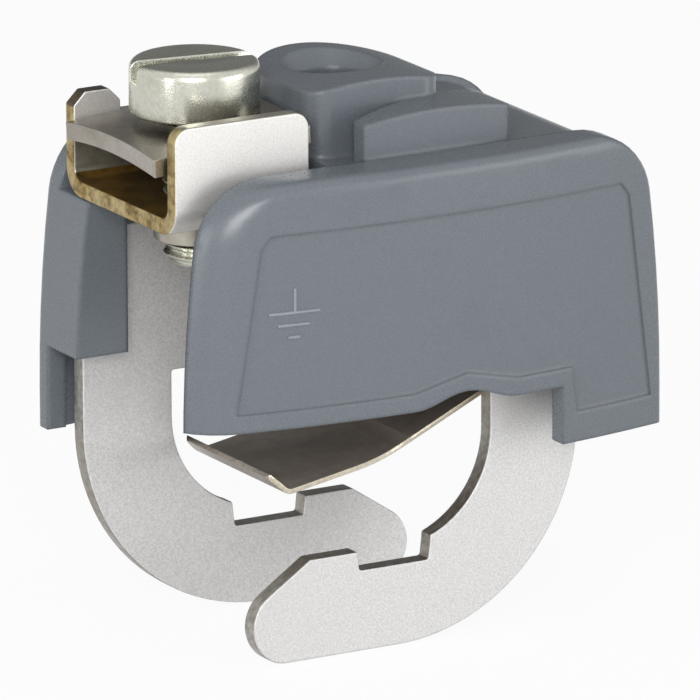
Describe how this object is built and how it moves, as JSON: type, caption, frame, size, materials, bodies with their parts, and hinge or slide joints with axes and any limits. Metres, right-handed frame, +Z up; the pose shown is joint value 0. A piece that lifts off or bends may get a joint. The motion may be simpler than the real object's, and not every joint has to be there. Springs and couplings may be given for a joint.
{
  "type": "earthing pipe clamp",
  "caption": "Twist-on earthing clamp: hooked steel bracket under a moulded cap, spring leaf that presses on the pipe and an open screw terminal for the earth conductor.",
  "frame": {"origin": "centre of the largest pipe in its seat between the hooks", "axes": "+X across the pipe away from the screw terminal, +Y along the pipe, +Z up out of the cap"},
  "size_m": [0.0418, 0.0284, 0.0462],
  "materials": {
    "moulding": "satin blue-grey moulded plastic",
    "bracket_steel": "fine-grained zinc plate",
    "cage_steel": "zinc plate with yellowish cut edges",
    "saddle_steel": "zinc plate",
    "screw_steel": "bright zinc plate",
    "spring_steel": "dark polished spring steel",
    "rivet_steel": "plated"
  },
  "bodies": {
    "base": {"cap": "moulding", "hook_bracket": "bracket_steel", "terminal_cage": "cage_steel", "centre_rivet": "rivet_steel"},
    "saddle": {"saddle": "saddle_steel"},
    "screw": {"terminal_screw": "screw_steel"},
    "leaf": {"pressure_leaf": "spring_steel"}
  },
  "joints": [
    {"name": "saddle_travel", "type": "slide", "parent": "base", "child": "saddle", "axis": [0, 0, -1], "range_m": [0, 0.0028]},
    {"name": "screw_turn", "type": "hinge", "parent": "saddle", "child": "screw", "pos_m": [-0.0114, 0, 0.02], "axis": [0, 0, -1], "range_deg": [0, 1261]},
    {"name": "leaf_press", "type": "hinge", "parent": "base", "child": "leaf", "pos_m": [0.0151, 0, 0.0116], "axis": [0, 1, 0], "range_deg": [0, 35], "stiffness_Nm_per_rad": 0.25, "deforming": ["pressure_leaf"]}
  ],
  "couplings": [
    {"joint": "screw_turn", "follows": "saddle_travel", "rad_per_m": 7854}
  ]
}
